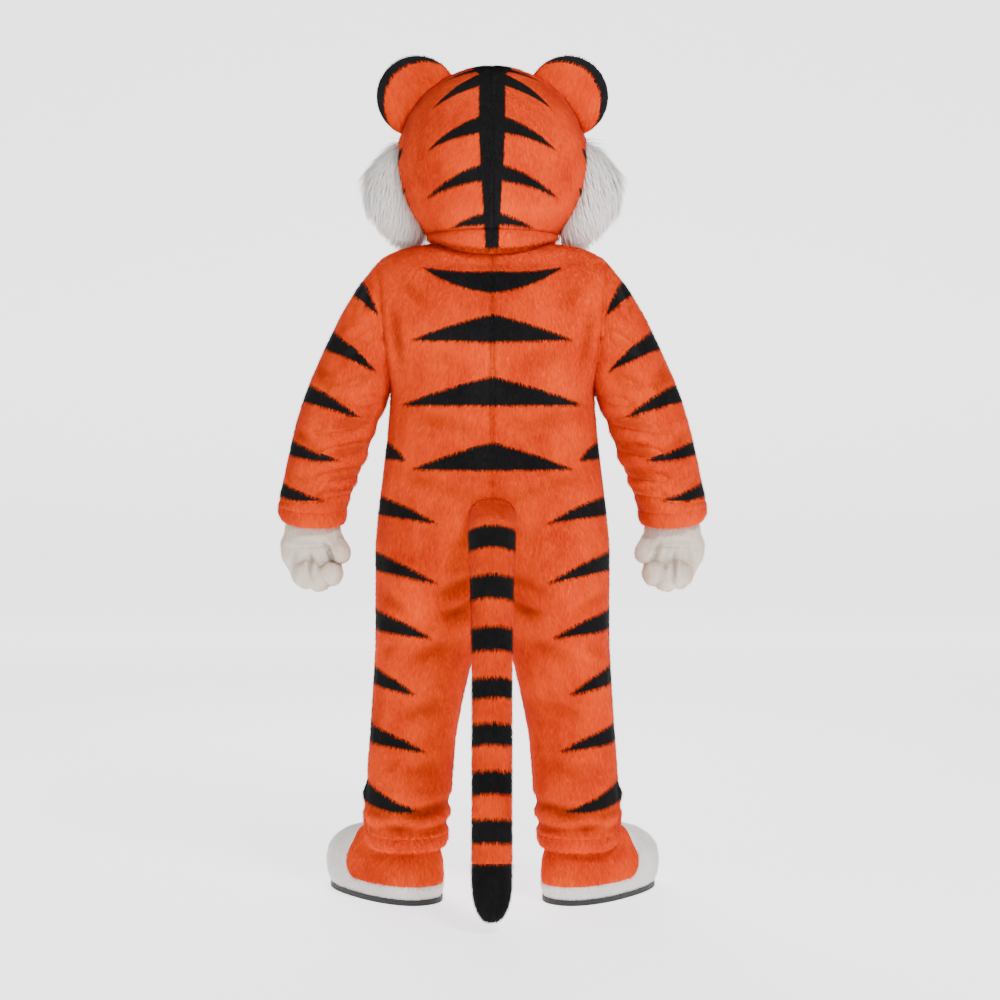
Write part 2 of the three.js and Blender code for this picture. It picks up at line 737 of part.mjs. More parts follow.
// ---------------------------------------------------------------- gloves
// The hand hangs with its palm backwards. Fingers are half curled; each has a knuckle, a bend and a tip.
const PALM = { centre: [409, -50, 790], half: [71, 43, 70], turn: [0, 7, 0] };
const CUFF = { from: [409, -46, 800], to: [409, -46, 878], across: 62, deep: 50 };
const FINGERS = table("knuckleX knuckleZ bendX bendZ tipX tipZ radius", [
  [437, 762, 424, 730, 417, 733, 30],
  [402, 752, 396, 719, 392, 723, 25],
  [373, 760, 368, 729, 365, 734, 23],
]);
const FINGER_DEPTH = { knuckle: -58, bend: -52, tip: -10 };
const THUMB = { from: [378, -38, 808], bend: [353, -30, 792], tip: [345, -20, 780], radius: 21 };

function gloveForm(inset) {
  const shrink = (half) => half.map((length) => length - inset);
  let form = solidOf(ellipsoid(PALM.centre, shrink(PALM.half), PALM.turn, 12));
  const wristLength = CUFF.to[2] - CUFF.from[2] + 2 * inset;
  const wrist = new THREE.CylinderGeometry(1, 1, wristLength, 12).rotateX(Math.PI / 2);
  wrist.scale(CUFF.across - inset, CUFF.deep - inset, 1);
  wrist.translate(CUFF.from[0], CUFF.from[1], (CUFF.from[2] + CUFF.to[2]) / 2 + inset);
  form = form.add(solidOf(wrist));
  for (const f of FINGERS) {
    const knuckle = [f.knuckleX, FINGER_DEPTH.knuckle, f.knuckleZ];
    const bend = [f.bendX, FINGER_DEPTH.bend, f.bendZ];
    const tip = [f.tipX, FINGER_DEPTH.tip, f.tipZ];
    form = form.add(solidOf(finger(knuckle, bend, f.radius - inset)));
    form = form.add(solidOf(finger(bend, tip, f.radius - inset)));
  }
  form = form.add(solidOf(finger(THUMB.from, THUMB.bend, THUMB.radius - inset)));
  return form.add(solidOf(finger(THUMB.bend, THUMB.tip, THUMB.radius - inset)));
}
addPair("glove", geometryOf(gloveForm(0).subtract(gloveForm(PADDED_FABRIC))), CREAM);

// ---------------------------------------------------------------- boots
// A point of the boot's outside, from the heel round by the outer side, at a height.
function onBoot(turn, height, grow = 0) {
  const row = rowAt(BOOT, height);
  const angle = 2 * Math.PI * turn;
  const along = -signedPower(Math.cos(angle), 2 / BOOT_FULLNESS);
  const aside = signedPower(Math.sin(angle), 2 / BOOT_FULLNESS);
  const ahead = (row.toe - row.heel) / 2 + ((row.toe + row.heel) / 2 + grow) * along;
  const sideways = (row.halfWidth + grow) * aside * (1 + BOOT_BROADER_TOE * along);
  return point(ANKLE.across, ANKLE.depth, height)
    .addScaledVector(TOE_DIRECTION, ahead)
    .addScaledVector(point(-TOE_DIRECTION.y, TOE_DIRECTION.x, 0), sideways);
}

// The space of the white trim and toe cap: an outline seen from the side, as wide as the boot.
function trimSpace(gap) {
  const outline = new THREE.Shape();
  outline.moveTo(-BOOT_REACH, 0);
  outline.lineTo(-BOOT_REACH, TRIM_HEIGHT + gap);
  outline.lineTo(TOE_CAP_EDGE[0].ahead / 2, TRIM_HEIGHT + gap);
  outline.splineThru(TOE_CAP_EDGE.map((row) => new THREE.Vector2(row.ahead - gap, row.height + gap)));
  outline.lineTo(TOE_CAP_TOP.ahead - gap, TOE_CAP_TOP.height + gap);
  outline.lineTo(BOOT_REACH, TOE_CAP_TOP.height + gap);
  outline.lineTo(BOOT_REACH, 0);
  const settings = { depth: BOOT_REACH, bevelEnabled: false, curveSegments: 2 };
  const form = new THREE.ExtrudeGeometry(outline, settings).translate(0, 0, -BOOT_REACH / 2);
  const up = point(0, 0, 1);
  form.applyMatrix4(new THREE.Matrix4().makeBasis(TOE_DIRECTION, up, TOE_DIRECTION.clone().cross(up)));
  return solidOf(form.translate(ANKLE.across, ANKLE.depth, 0));
}

const soleTop = SOLE_THICKNESS + SEAM_GAP;
const bootWall = solidOf(
  wall({
    columns: 20,
    rows: BOOT.length - 1,
    ring: true,
    level: () => true,
    thickness: PADDED_FABRIC,
    skin: (s, t) => onBoot(s, rowAlong(BOOT, t).height),
    core: () => onBoot(0, soleTop).lerp(onBoot(0.5, soleTop), 0.4),
  }),
);
addPair("boot_trim", geometryOf(bootWall.intersect(trimSpace(0))), WHITE_FUR);
addPair("boot_upper", geometryOf(bootWall.subtract(trimSpace(SEAM_GAP))), ORANGE);

const soleRings = [0, SOLE_THICKNESS].map((height) =>
  Array.from({ length: 36 }, (_, k) => onBoot(k / 36, soleTop, 3).setZ(height)),
);
addPair("boot_sole", stuffed(soleRings), RUBBER);

export default costume;
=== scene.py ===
# Tiger costume: the looks of the fur suit, head, gloves, boots and tail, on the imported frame.
# Heights in the tables are millimetres above the floor, and distances across are from the middle.
import math

import bmesh
import bpy
import numpy as np
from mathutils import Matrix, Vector


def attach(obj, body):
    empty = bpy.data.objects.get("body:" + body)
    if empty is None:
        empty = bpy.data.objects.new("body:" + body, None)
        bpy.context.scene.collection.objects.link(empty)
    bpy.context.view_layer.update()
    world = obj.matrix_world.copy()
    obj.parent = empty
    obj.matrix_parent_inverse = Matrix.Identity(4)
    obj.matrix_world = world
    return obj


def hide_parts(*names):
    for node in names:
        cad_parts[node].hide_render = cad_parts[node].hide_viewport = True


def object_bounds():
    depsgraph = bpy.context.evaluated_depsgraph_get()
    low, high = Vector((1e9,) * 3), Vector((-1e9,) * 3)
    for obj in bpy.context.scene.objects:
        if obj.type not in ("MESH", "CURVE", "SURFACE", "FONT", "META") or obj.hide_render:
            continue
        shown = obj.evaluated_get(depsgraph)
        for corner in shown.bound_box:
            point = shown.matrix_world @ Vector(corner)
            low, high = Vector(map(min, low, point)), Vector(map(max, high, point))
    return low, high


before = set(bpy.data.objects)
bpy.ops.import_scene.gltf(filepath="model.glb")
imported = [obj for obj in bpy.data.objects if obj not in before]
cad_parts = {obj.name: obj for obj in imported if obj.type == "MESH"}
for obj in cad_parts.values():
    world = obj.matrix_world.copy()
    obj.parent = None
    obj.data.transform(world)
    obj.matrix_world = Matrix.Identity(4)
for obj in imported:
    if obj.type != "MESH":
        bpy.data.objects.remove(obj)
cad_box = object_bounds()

MM = 0.001
FLOOR = cad_box[0][2]
SIDES = {"left": 1, "right": -1}  # each side, and the way along X that it lies


def level(height):
    """A height above the floor in millimetres, as Z in the frame."""
    return FLOOR + height * MM


# ---------------------------------------------------------------- camera, floor and light
CAMERA = {"away": 4.5, "height": 1030, "aim_height": 899.5, "aside": -0.017, "lens": 72}


def set_camera():
    data = bpy.data.cameras.new("camera")
    data.lens = CAMERA["lens"]
    data.sensor_width = 36
    camera = bpy.data.objects.new("camera", data)
    bpy.context.scene.collection.objects.link(camera)
    camera.location = (CAMERA["aside"], CAMERA["away"], level(CAMERA["height"]))
    aim = Vector((CAMERA["aside"], 0, level(CAMERA["aim_height"])))
    camera.rotation_euler = (aim - camera.location).to_track_quat("-Z", "Y").to_euler()
    bpy.context.scene.camera = camera


def area_light(name, place, aim, size, power):
    data = bpy.data.lights.new(name, "AREA")
    data.shape = "DISK"
    data.size = size
    data.energy = power
    light = bpy.data.objects.new(name, data)
    bpy.context.scene.collection.objects.link(light)
    light.location = place
    light.rotation_euler = (Vector(aim) - light.location).to_track_quat("-Z", "Y").to_euler()


def set_lights():
    chest = (0, 0, level(1100))
    area_light("key", (-1.6, 2.6, level(3500)), chest, 1.2, 150)
    area_light("fill", (2.8, 2.6, level(2000)), chest, 2.6, 22)
    area_light("front_fill", (0.8, -2.6, level(2800)), chest, 2.0, 70)
    world = bpy.data.worlds.new("studio")
    bpy.context.scene.world = world
    world.use_nodes = True
    back = world.node_tree.nodes["Background"]
    back.inputs["Color"].default_value = (1, 1, 1, 1)
    back.inputs["Strength"].default_value = 0.4


# ---------------------------------------------------------------- shader maths
class Value:
    """A number socket of a material, so that its maths reads as an expression."""

    def __init__(self, finish, socket):
        self.finish, self.socket = finish, socket

    def maths(self, operation, *others, clamp=False):
        inputs = {k: v for k, v in enumerate((self, *others))}
        node = self.finish.node("Math", {"operation": operation, "use_clamp": clamp}, inputs)
        return Value(self.finish, node.outputs[0])

    def __add__(self, other):
        return self.maths("ADD", other)

    def __sub__(self, other):
        return self.maths("SUBTRACT", other)

    def __rsub__(self, other):
        return Value.of(self.finish, other).maths("SUBTRACT", self)

    def __mul__(self, other):
        return self.maths("MULTIPLY", other)

    __radd__ = __add__
    __rmul__ = __mul__

    def plus_times(self, factor, added):
        return self.maths("MULTIPLY_ADD", factor, added)

    def size(self):
        return self.maths("ABSOLUTE")

    def clamped(self):
        return self.maths("ADD", 0, clamp=True)

    def power(self, exponent):
        return self.maths("POWER", exponent)

    def least(self, other):
        return self.maths("MINIMUM", other)

    def most(self, other):
        return self.maths("MAXIMUM", other)

    @staticmethod
    def of(finish, number):
        """A plain number as a Value, for the left of a subtraction."""
        node = finish.node("Math", {"operation": "ADD"}, {0: number, 1: 0})
        return Value(finish, node.outputs[0])


class Finish:
    """One material and the nodes in it."""

    def __init__(self, name):
        self.material = bpy.data.materials.new(name)
        self.material.use_nodes = True
        self.tree = self.material.node_tree
        self.shader = self.tree.nodes["Principled BSDF"]

    def node(self, kind, settings=None, inputs=None):
        """Adds a node: its type, then its settings, then the values or links of its sockets."""
        node = self.tree.nodes.new("ShaderNode" + kind)
        for name, value in (settings or {}).items():
            if name == "stops":
                self.set_stops(node.color_ramp, value)
            else:
                setattr(node, name, value)
        for name, value in (inputs or {}).items():
            self.feed(node.inputs[name], value)
        return node

    @staticmethod
    def set_stops(ramp, stops):
        while len(ramp.elements) < len(stops):
            ramp.elements.new(0.5)
        for element, (place, colour) in zip(ramp.elements, stops):
            element.position = place
            element.color = (*colour, 1)

    def feed(self, socket, value):
        if isinstance(value, Value):
            value = value.socket
        if isinstance(value, bpy.types.NodeSocket):
            self.tree.links.new(value, socket)
        elif socket.type == "RGBA" and len(value) == 3:
            socket.default_value = (*value, 1)
        else:
            socket.default_value = value

    def set(self, **constants):
        """Sets what is the same all over the surface on the shader's own sockets."""
        for name, value in constants.items():
            self.feed(self.shader.inputs[name.replace("_", " ")], value)

    def place(self, rooted):
        """The point's place in metres: the fur's own root, or the surface's."""
        if rooted:
            return self.node("Attribute", {"attribute_name": "root"}).outputs["Vector"]
        return self.node("TexCoord").outputs["Object"]

    def split(self, vector):
        node = self.node("SeparateXYZ", None, {0: vector})
        return [Value(self, socket) for socket in node.outputs]

    def noise(self, vector, scale, detail=2.0, stretch=(1, 1, 1)):
        """Noise from 0 to 1 at a number of waves per metre, drawn out along the axes with a small stretch."""
        settled = self.node("VectorMath", {"operation": "MULTIPLY"}, {0: vector, 1: stretch})
        node = self.node("TexNoise", None, {"Vector": settled.outputs[0], "Scale": scale, "Detail": detail})
        return Value(self, node.outputs[0])

    def blend(self, share, first, second):
        settings = {"data_type": "RGBA", "clamp_factor": True}
        node = self.node("Mix", settings, {"Factor": share, 6: first, 7: second})
        return node.outputs[2]

    def bump(self, height, distance, strength=1.0):
        node = self.node("Bump", None, {"Height": height, "Distance": distance, "Strength": strength})
        self.feed(self.shader.inputs["Normal"], node.outputs[0])


# ---------------------------------------------------------------- stripes
def table(columns, rows):
    names = columns.split()
    return [dict(zip(names, row)) for row in rows]


STRIPE = "root_x root_h tip_x tip_h half bow taper"
BACK_STRIPES = table(STRIPE, [
    (0, 1381, 152, 1416, 25, -9, 0.6),
    (0, 1279, 177, 1254, 31, 2, 0.78),
    (0, 1142, 203, 1112, 32, 2, 0.78),
    (0, 1000, 178, 971, 31, 2, 0.78),
])
SIDE_STRIPES = table(STRIPE, [
    (237, 1012, 189, 988, 20, 3, 0.8),
    (251, 890, 119, 851, 22, 5, 0.7),
    (262, 768, 117, 720, 21, 5, 0.7),
    (267, 638, 130, 600, 25, 4, 0.7),
    (269, 512, 168, 472, 22, 4, 0.7),
    (278, 382, 146, 343, 22, 5, 0.7),
    (285, 250, 160, 215, 23, -6, 0.6),
])
SLEEVE_STRIPES = table(STRIPE, [
    (300, 1375, 251, 1310, 19, 2, 0.6),
    (363, 1258, 255, 1185, 22, 3, 0.7),
    (413, 1140, 290, 1081, 21, 4, 0.7),
    (452, 1020, 338, 992, 17, -5, 0.6),
    (475, 926, 374, 903, 17, -5, 0.6),
])
HEAD_STRIPES = table(STRIPE, [
    (20, 1853, 105, 1819, 7, 6, 0.8),
    (20, 1822, 124, 1754, 16, 9, 0.75),
    (20, 1714, 137, 1660, 19, 9, 0.75),
    (20, 1611, 145, 1558, 18, 9, 0.75),
    (12, 1517, 95, 1495, 13, 5, 0.75),
    (222, 1655, 196, 1683, 15, 0, 0.8),
    (212, 1572, 192, 1594, 15, 0, 0.8),
])
FACE_STRIPES = table(STRIPE, [
    (0, 1872, 0, 1744, 15, 0, 0.7),
    (52, 1838, 30, 1762, 10, -5, 0.7),
    (118, 1818, 66, 1768, 12, 5, 0.7),
    (216, 1650, 158, 1668, 15, 5, 0.7),
    (208, 1585, 152, 1606, 14, 5, 0.7),
])
TAIL_BANDS = table("top bottom", [
    (856, 811), (756, 706), (648, 597), (541, 497), (445, 399), (346, 297), (246, 196),
])
SPINE = {"wide": 28, "narrow": 15, "from": 1480, "to": 1700, "cap": 1834, "cap_wide": 44}
FUZZ = 2.2  # how far the fur mixes at a stripe's edge, millimetres
CLEAR = 6  # how far outside a stripe a point past its tip counts, at least


def inside_stripe(across, height, stripe):
    """How far inside a stripe a point lies, in millimetres; it is less than 0 outside."""
    s = stripe
    run, rise = s["tip_x"] - s["root_x"], s["tip_h"] - s["root_h"]
    length = math.hypot(run, rise)
    reach = 1 - (CLEAR / (s["half"] + CLEAR)) ** (1 / s["taper"])
    along_x, along_h = reach * run / length**2, reach * rise / length**2
    start = -(s["root_x"] * along_x + s["root_h"] * along_h)
    u = across.plus_times(along_x, height.plus_times(along_h, start))
    aside = (s["root_x"] * rise - s["root_h"] * run) / length
    v = across.plus_times(-rise / length, height.plus_times(run / length, aside))
    if s["bow"]:
        v = v - u * (1 - u) * (4 * s["bow"] * (1 if run >= 0 else -1))
    left = (1 - u).clamped()
    return left.power(s["taper"]) * (s["half"] + CLEAR) - CLEAR - v.size()


def black_share(finish, place, stripes, extra=None):
    """The share of black fur at a place, from 0 to 1, with a fuzzy edge."""
    x, y, z = finish.split(place)
    across = x.size() * (1 / MM)
    height = (z - FLOOR) * (1 / MM)
    ragged = (finish.noise(place, 190, 2.0, (1, 1, 0.4)) - 0.5) * (1.5 * FUZZ)
    inside = extra(across, height, y * (1 / MM)) if extra else None
    for stripe in stripes:
        one = inside_stripe(across, height, stripe)
        inside = one if inside is None else inside.most(one)
    return ((inside + ragged) * (1 / FUZZ) + 0.5).clamped()


def spine(across, height, behind):
    """The black line down the back of the head, with a cap at the crown."""
    span = SPINE["to"] - SPINE["from"]
    rise = ((height - SPINE["from"]) * (1 / span)).clamped()
    width = rise * (SPINE["wide"] - SPINE["narrow"]) + SPINE["narrow"]
    cap = ((height - SPINE["cap"]) * (1 / 24)).clamped() * (SPINE["cap_wide"] - SPINE["wide"])
    return (width + cap - across).least(behind)


def bands(across, height, behind):
    """The black rings of the tail, which arch upwards at the middle."""
    arched = height + across * across * 0.005
    inside = None
    for band in TAIL_BANDS:
        middle, half = (band["top"] + band["bottom"]) / 2, (band["top"] - band["bottom"]) / 2
        one = half - (arched - middle).size()
        inside = one if inside is None else inside.most(one)
    return inside


# ---------------------------------------------------------------- finishes
ORANGE = ((0.58, 0.02, 0.0), (1.0, 0.092, 0.0))
BLACK = ((0.004, 0.004, 0.005), (0.014, 0.013, 0.014))
WHITE = ((0.78, 0.73, 0.69), (0.96, 0.94, 0.92))
CREAM = ((0.76, 0.62, 0.5), (0.95, 0.87, 0.77))


def plush(name, ground, rooted, stripes=None, extra=None, roughness=0.95, sheen=0.03):
    """Fur cloth. A rooted finish is for the pile, whose colour is taken where each hair grows."""
    finish = Finish(name)
    place = finish.place(rooted)
    patches = finish.noise(place, 11, 3.0)
    strokes = finish.noise(place, 260, 2.0, (1, 1, 0.3))
    light = (patches * 1.3 + strokes * 0.9 - 0.6).clamped()
    colour = finish.blend(light, *ground)
    # painted shade: the colour darkens in the troughs of the pressed folds, towards 0.4 of the dark ground
    # colour
    fold = Value(finish, finish.node("Attribute", {"attribute_name": "fold"}).outputs["Fac"])
    colour = finish.blend(fold * 0.6, colour, tuple(part * 0.4 for part in ground[0]))
    if stripes is not None:
        dark = finish.blend(light, *BLACK)
        colour = finish.blend(black_share(finish, place, stripes, extra), colour, dark)
    finish.feed(finish.shader.inputs["Base Color"], colour)
    finish.set(Roughness=roughness, Sheen_Weight=sheen, Sheen_Roughness=0.5)
    finish.set(Specular_IOR_Level=0.08)
    if not rooted:
        finish.bump(strokes, 2.5 * MM, 0.5)
    return finish.material


def glossy(name, dark, light, roughness):
    finish = Finish(name)
    place = finish.place(False)
    grain = finish.noise(place, 240, 4.0)
    finish.feed(finish.shader.inputs["Base Color"], finish.blend(grain, dark, light))
    finish.feed(finish.shader.inputs["Roughness"], grain * 0.12 + roughness)
    finish.bump(grain, 0.3 * MM, 0.4)
    return finish.material


# ---------------------------------------------------------------- meshes
def cad_copy(node):
    """A node's mesh, with its doubles merged, as a bmesh."""
    bm = bmesh.new()
    bm.from_mesh(bpy.data.objects[node].data)
    bmesh.ops.remove_doubles(bm, verts=bm.verts, dist=0.02 * MM)
    return bm


def cut_fine(bm, edge):
    """Divides every edge until it is shorter than a length."""
    for _ in range(6):
        long = [e for e in bm.edges if e.calc_length() > edge]
        if not long:
            return
        bmesh.ops.subdivide_edges(bm, edges=long, cuts=1)
        bmesh.ops.triangulate(bm, faces=[f for f in bm.faces if len(f.verts) > 3])


def smooth(bm, rounds, sharp_angle=50):
    """Rounds the facets. Points on a hard edge slide along it, and corners stay."""
    bm.verts.index_update()
    at = np.array([v.co for v in bm.verts])
    sharp = [e for e in bm.edges if e.calc_face_angle(math.pi) > math.radians(sharp_angle)]
    hard = np.zeros(len(at), int)
    for e in sharp:
        for v in e.verts:
            hard[v.index] += 1
    pairs = [(e.verts[0].index, e.verts[1].index) for e in bm.edges]
    hard_pairs = [(e.verts[0].index, e.verts[1].index) for e in sharp]
    pulls = [(a, b) for a, b in pairs + [(b, a) for a, b in pairs] if not hard[a]]
    pulls += [(a, b) for a, b in hard_pairs + [(b, a) for a, b in hard_pairs] if hard[a] == 2]
    to, of = np.array(pulls).T
    count = np.bincount(to, minlength=len(at)).clip(1)[:, None]
    for step in [0.5, -0.52] * rounds:
        total = np.zeros_like(at)
        np.add.at(total, to, at[of] - at[to])
        at += step * total / count
    for v, co in zip(bm.verts, at):
        v.co = co


def mark_outside(bm, sharp_angle=50):
    """Marks the largest patch between hard edges, which is the outside of a cloth wall."""
    bm.faces.ensure_lookup_table()
    bm.faces.index_update()
    layer = bm.faces.layers.bool.new("outside")
    limit = math.radians(sharp_angle)
    seen, best, best_area = set(), [], 0
    for start in bm.faces:
        if start.index in seen:
            continue
        seen.add(start.index)
        patch, queue, area = [start], [start], 0
        while queue:
            face = queue.pop()
            area += face.calc_area()
            for edge in face.edges:
                if edge.calc_face_angle(math.pi) > limit:
                    continue
                for other in edge.link_faces:
                    if other.index not in seen:
                        seen.add(other.index)
                        patch.append(other)
                        queue.append(other)
        if area > best_area:
            best, best_area = patch, area
    for face in best:
        face[layer] = True
    return best_area


# ---------------------------------------------------------------- folds pressed into the cloth
def press_folds(bm, folds):
    """Moves both faces of the cloth together: a trough along each line, with a soft ridge beside it. Each
    point keeps how deep its trough is, for the shade that the finishes paint into the troughs.
    """
    if not folds:
        return
    bm.normal_update()
    at = np.array([v.co for v in bm.verts])
    out = np.array([v.normal for v in bm.verts])
    outside = bm.faces.layers.bool.get("outside")
    inward = [not any(f[outside] for f in v.link_faces) for v in bm.verts]
    out[np.array(inward)] *= -1
    move = np.zeros(len(at))
    across, height = np.abs(at[:, 0]) / MM, (at[:, 2] - FLOOR) / MM
    for facing, lines in folds.items():
        turned = out[:, 1] * (1 if facing == "back" else -1)
        shows = np.ones(len(at)) if facing == "round" else (turned * 1.8).clip(0, 1)
        for f in lines:
            run, rise = f["x2"] - f["x1"], f["h2"] - f["h1"]
            t = (((across - f["x1"]) * run + (height - f["h1"]) * rise) / (run**2 + rise**2)).clip(0, 1)
            gap = np.hypot(across - f["x1"] - t * run, height - f["h1"] - t * rise) / f["width"]
            fade = np.sin(np.pi * t.clip(0.03, 0.97)) ** 0.6
            trough = -np.exp(-(gap**2)) + 0.5 * np.exp(-((gap - 1.7) ** 2) * 1.4)
            move += f["depth"] * MM * fade * trough * shows
    at += out * move[:, None]
    # each point's trough depth, from 0 to 1, kept for the shade painted into the fold troughs
    layer = bm.verts.layers.float.new("fold")
    for v, co, moved in zip(bm.verts, at, move):
        v.co = co
        v[layer] = min(max(-moved / (7 * MM), 0), 1)


# ---------------------------------------------------------------- the pile of the fur
def blade_mesh(name, rows):
    """One tuft of hair, a unit long along Z: rows give its height, half-width and how far it bends."""
    bm = bmesh.new()
    left = [bm.verts.new((-w, bend, z)) for z, w, bend in rows[:-1]]
    right = [bm.verts.new((w, bend, z)) for z, w, bend in rows[:-1]]
    tip = bm.verts.new((0, rows[-1][2], rows[-1][0]))
    for k in range(len(left) - 1):
        bm.faces.new((left[k], right[k], right[k + 1], left[k + 1]))
    bm.faces.new((left[-1], right[-1], tip))
    layer = bm.loops.layers.uv.new("blade")
    for face in bm.faces:
        for loop in face.loops:
            loop[layer].uv = (loop.vert.co.x, loop.vert.co.z)
    mesh = bpy.data.meshes.new(name)
    bm.to_mesh(mesh)
    bm.free()
    blade = bpy.data.objects.new(name, mesh)
    bpy.context.scene.collection.objects.link(blade)
    return blade


class Tree:
    """A Geometry Nodes tree with named inputs."""

    def __init__(self, name):
        self.tree = bpy.data.node_groups.new(name, "GeometryNodeTree")
        self.tree.interface.new_socket("Geometry", in_out="OUTPUT", socket_type="NodeSocketGeometry")
        self.input("Geometry", "NodeSocketGeometry")
        self.start = self.tree.nodes.new("NodeGroupInput")
        self.end = self.tree.nodes.new("NodeGroupOutput")

    def input(self, name, kind):
        return self.tree.interface.new_socket(name, in_out="INPUT", socket_type=kind)

    def node(self, kind, settings=None, inputs=None):
        node = self.tree.nodes.new(kind)
        for name, value in (settings or {}).items():
            setattr(node, name, value)
        for name, value in (inputs or {}).items():
            if isinstance(value, bpy.types.NodeSocket):
                self.tree.links.new(value, node.inputs[name])
            else:
                node.inputs[name].default_value = value
        return node

    def maths(self, operation, *values):
        node = self.node("ShaderNodeMath", {"operation": operation}, dict(enumerate(values)))
        return node.outputs[0]

    def vector(self, operation, *values, scale=None):
        inputs = dict(enumerate(values))
        if scale is not None:
            inputs["Scale"] = scale
        node = self.node("ShaderNodeVectorMath", {"operation": operation}, inputs)
        return node.outputs["Value" if operation == "DOT_PRODUCT" else "Vector"]


def pile_tree():
    """Fur that grows from the outside of a piece: combed, with a little disorder."""
    t = Tree("pile")
    for name, kind in {
        "Blade": "Object", "Density": "Float", "Length": "Float", "Width": "Float", "Lift": "Float",
        "Comb": "Vector", "Spread": "Float", "Centre": "Vector", "Disorder": "Float", "Swirl": "Float",
        "Low": "Vector", "Span": "Float", "Seed": "Int", "Material": "Material",
    }.items():
        t.input(name, "NodeSocket" + kind)
    given = t.start.outputs
    outside = t.node("GeometryNodeInputNamedAttribute", {"data_type": "BOOLEAN"}, {"Name": "outside"})
    spread = t.node("GeometryNodeDistributePointsOnFaces", None, {
        "Mesh": given["Geometry"], "Selection": outside.outputs["Attribute"],
        "Density": given["Density"], "Seed": given["Seed"],
    })
    place = t.node("GeometryNodeInputPosition").outputs[0]
    store_root = t.node("GeometryNodeStoreNamedAttribute", {"data_type": "FLOAT_VECTOR", "domain": "POINT"}, {
        "Geometry": spread.outputs["Points"], "Name": "root", "Value": place,
    })
    # the comb's direction, laid on the surface, and turned a little by a slow noise
    apart = t.vector("SUBTRACT", place, given["Centre"])
    flow = t.vector("ADD", given["Comb"], t.vector("SCALE", apart, scale=given["Spread"]))
    waves = t.node("ShaderNodeTexNoise", None, {"Vector": place, "Scale": 7.0, "Detail": 1.0})
    waves = t.vector("SUBTRACT", waves.outputs["Color"], (0.5, 0.5, 0.5))
    flow = t.vector("ADD", flow, t.vector("SCALE", waves, scale=given["Swirl"]))
    messy = t.node("FunctionNodeRandomValue", {"data_type": "FLOAT_VECTOR"}, {
        0: (-1, -1, -1), 1: (1, 1, 1), "Seed": given["Seed"],
    })
    flow = t.vector("ADD", flow, t.vector("SCALE", messy.outputs[0], scale=given["Disorder"]))
    normal = spread.outputs["Normal"]
    rise = t.vector("DOT_PRODUCT", flow, normal)
    flat = t.vector("NORMALIZE", t.vector("SUBTRACT", flow, t.vector("SCALE", normal, scale=rise)))
    hair = t.vector("ADD", flat, t.vector("SCALE", normal, scale=given["Lift"]))
    turn = t.node("FunctionNodeAxesToRotation", {"primary_axis": "Z", "secondary_axis": "Y"}, {
        0: hair, 1: normal,
    })
    vary = t.node("FunctionNodeRandomValue", {"data_type": "FLOAT"}, {
        2: 0.65, 3: 1.15, "Seed": t.maths("ADD", given["Seed"], 7),
    })
    size = t.node("ShaderNodeCombineXYZ", None, {
        0: given["Width"], 1: given["Length"], 2: t.maths("MULTIPLY", given["Length"], vary.outputs[1]),
    })
    blade = t.node("GeometryNodeObjectInfo", None, {"Object": given["Blade"]})
    tufts = t.node("GeometryNodeInstanceOnPoints", None, {
        "Points": store_root.outputs[0], "Instance": blade.outputs["Geometry"],
        "Rotation": turn.outputs[0], "Scale": size.outputs[0],
    })
    real = t.node("GeometryNodeRealizeInstances", None, {"Geometry": tufts.outputs[0]})
    # each tuft's patch of the map lies where its root is on the piece, seen from behind
    root = t.node("GeometryNodeInputNamedAttribute", {"data_type": "FLOAT_VECTOR"}, {"Name": "root"})
    blade_uv = t.node("GeometryNodeInputNamedAttribute", {"data_type": "FLOAT_VECTOR"}, {"Name": "blade"})
    on_map = t.vector("DIVIDE", t.vector("SUBTRACT", root.outputs[0], given["Low"]), given["Span"])
    root_xyz = t.node("ShaderNodeSeparateXYZ", None, {0: on_map})
    own = t.node("ShaderNodeSeparateXYZ", None, {0: blade_uv.outputs[0]})
    patch = 0.005
    uv = t.node("ShaderNodeCombineXYZ", None, {
        0: t.maths("MULTIPLY_ADD", own.outputs[0], patch, root_xyz.outputs[0]),
        1: t.maths("MULTIPLY_ADD", own.outputs[1], patch, root_xyz.outputs[2]),
    })
    store_uv = t.node("GeometryNodeStoreNamedAttribute", {"data_type": "FLOAT2", "domain": "CORNER"}, {
        "Geometry": real.outputs[0], "Name": "OFBake", "Value": uv.outputs[0],
    })
    dressed = t.node("GeometryNodeSetMaterial", None, {
        "Geometry": store_uv.outputs[0], "Material": given["Material"],
    })
    t.tree.links.new(dressed.outputs[0], t.end.inputs[0])
    return t.tree


PILE = pile_tree()
SHORT_BLADE = blade_mesh("short_blade", [(0, 0.5, 0), (1, 0, 0)])
LONG_BLADE = blade_mesh("long_blade", [(0, 0.5, 0), (0.35, 0.5, 0.03), (0.7, 0.32, -0.04), (1, 0, -0.2)])


